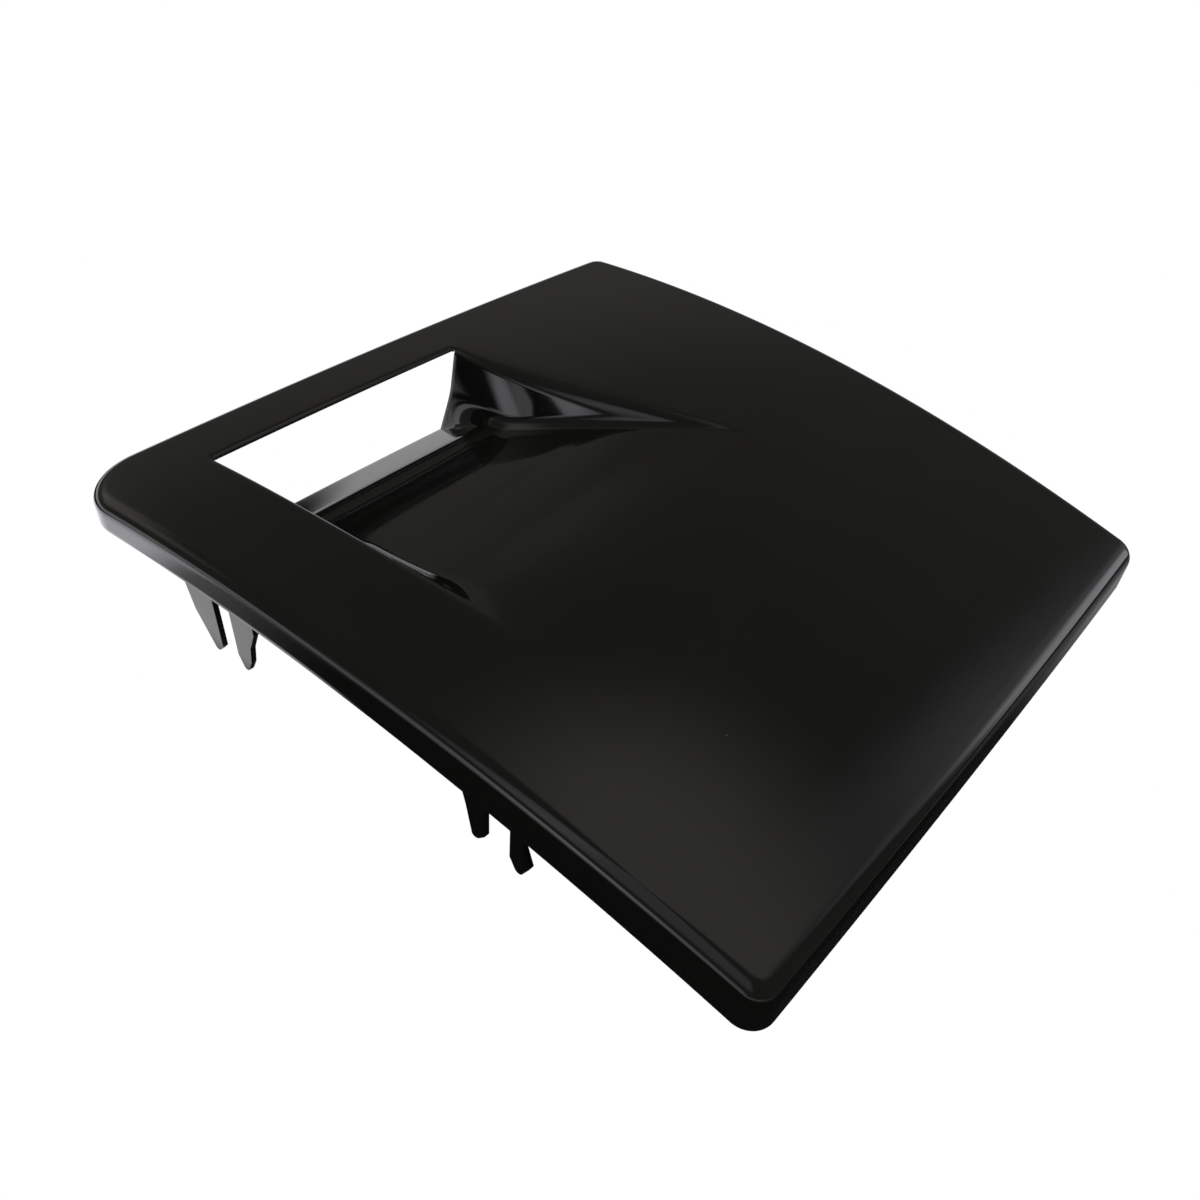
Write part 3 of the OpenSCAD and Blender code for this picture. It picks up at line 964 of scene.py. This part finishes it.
# One soft panel: its light in the direction [azimuth, elevation]
def panelGroup():
    tree = bpy.data.node_groups.new("softPanel", "ShaderNodeTree")
    for name in ("Azimuth", "Elevation", *panelInputs):
        tree.interface.new_socket(name, in_out="INPUT", socket_type="NodeSocketFloat")
    tree.interface.new_socket("Light", in_out="OUTPUT", socket_type="NodeSocketFloat")
    nodes, links = tree.nodes, tree.links
    start, end = nodes.new("NodeGroupInput"), nodes.new("NodeGroupOutput")

    def reckon(operation, *values):
        n = nodes.new("ShaderNodeMath")
        n.operation = operation
        for k, v in enumerate(values):
            if isinstance(v, (int, float)):
                n.inputs[k].default_value = v
            else:
                links.new(v, n.inputs[k])
        return n.outputs[0]

    def window(value, half, soft):
        n = nodes.new("ShaderNodeMapRange")
        n.interpolation_type = "SMOOTHSTEP"
        links.new(value, n.inputs["Value"])
        links.new(reckon("SUBTRACT", half, soft), n.inputs["From Min"])
        links.new(reckon("ADD", half, soft), n.inputs["From Max"])
        n.inputs["To Min"].default_value = 1
        n.inputs["To Max"].default_value = 0
        return n.outputs["Result"]

    o = start.outputs
    turn = reckon("WRAP", reckon("SUBTRACT", o["Azimuth"], o["Middle"]), 180, -180)
    side = reckon("ABSOLUTE", turn)
    rise = reckon("ABSOLUTE", reckon("SUBTRACT", o["Elevation"], o["Height"]))
    both = reckon("MULTIPLY", window(side, o["Half Width"], o["Side Softness"]),
                  window(rise, o["Half Height"], o["Top Softness"]))
    links.new(reckon("MULTIPLY", both, o["Strength"]), end.inputs["Light"])
    return tree


# Glossy rays see the panels; all other light comes from a plain white world
def makeSky():
    world = bpy.data.worlds.new("studio")
    bpy.context.scene.world = world
    nodes, links = emptyTree(world)
    group = panelGroup()
    place = nodes.new("ShaderNodeTexCoord")
    split = nodes.new("ShaderNodeSeparateXYZ")
    links.new(place.outputs["Generated"], split.inputs[0])

    def angle(operation, a, b=None):
        n = nodes.new("ShaderNodeMath")
        n.operation = operation
        links.new(a, n.inputs[0])
        if b:
            links.new(b, n.inputs[1])
        turn = nodes.new("ShaderNodeMath")
        turn.operation = "DEGREES"
        links.new(n.outputs[0], turn.inputs[0])
        return turn.outputs[0]

    azimuth = angle("ARCTAN2", split.outputs["X"], split.outputs["Y"])
    elevation = angle("ARCSINE", split.outputs["Z"])
    lit = []
    for kind, start in (("warm", sky["dim"]), ("cool", 0)):
        total = None
        for name, panel in sky[kind].items():
            n = nodes.new("ShaderNodeGroup")
            n.node_tree = group
            n.label = name
            links.new(azimuth, n.inputs["Azimuth"])
            links.new(elevation, n.inputs["Elevation"])
            for key, value in zip(panelInputs, panel):
                n.inputs[key].default_value = value
            add = nodes.new("ShaderNodeMath")
            add.operation = "ADD"
            links.new(n.outputs["Light"], add.inputs[0])
            if total:
                links.new(total, add.inputs[1])
            else:
                add.inputs[1].default_value = start
            total = add.outputs[0]
        glow = nodes.new("ShaderNodeBackground")
        glow.inputs["Color"].default_value = sky[kind + "Colour"]
        links.new(total, glow.inputs["Strength"])
        lit.append(glow.outputs[0])
    seenSky = nodes.new("ShaderNodeAddShader")
    links.new(lit[0], seenSky.inputs[0])
    links.new(lit[1], seenSky.inputs[1])

    plain = nodes.new("ShaderNodeBackground")
    plain.inputs["Color"].default_value = (1, 1, 1, 1)
    rays = nodes.new("ShaderNodeLightPath")
    mix = nodes.new("ShaderNodeMixShader")
    links.new(rays.outputs["Is Glossy Ray"], mix.inputs["Fac"])
    links.new(plain.outputs[0], mix.inputs[1])
    links.new(seenSky.outputs[0], mix.inputs[2])
    out = nodes.new("ShaderNodeOutputWorld")
    links.new(mix.outputs[0], out.inputs["Surface"])


makeSky()
bpy.context.scene.view_settings.view_transform = "Standard"
print("sky", len(sky["warm"]) + len(sky["cool"]), "panels")
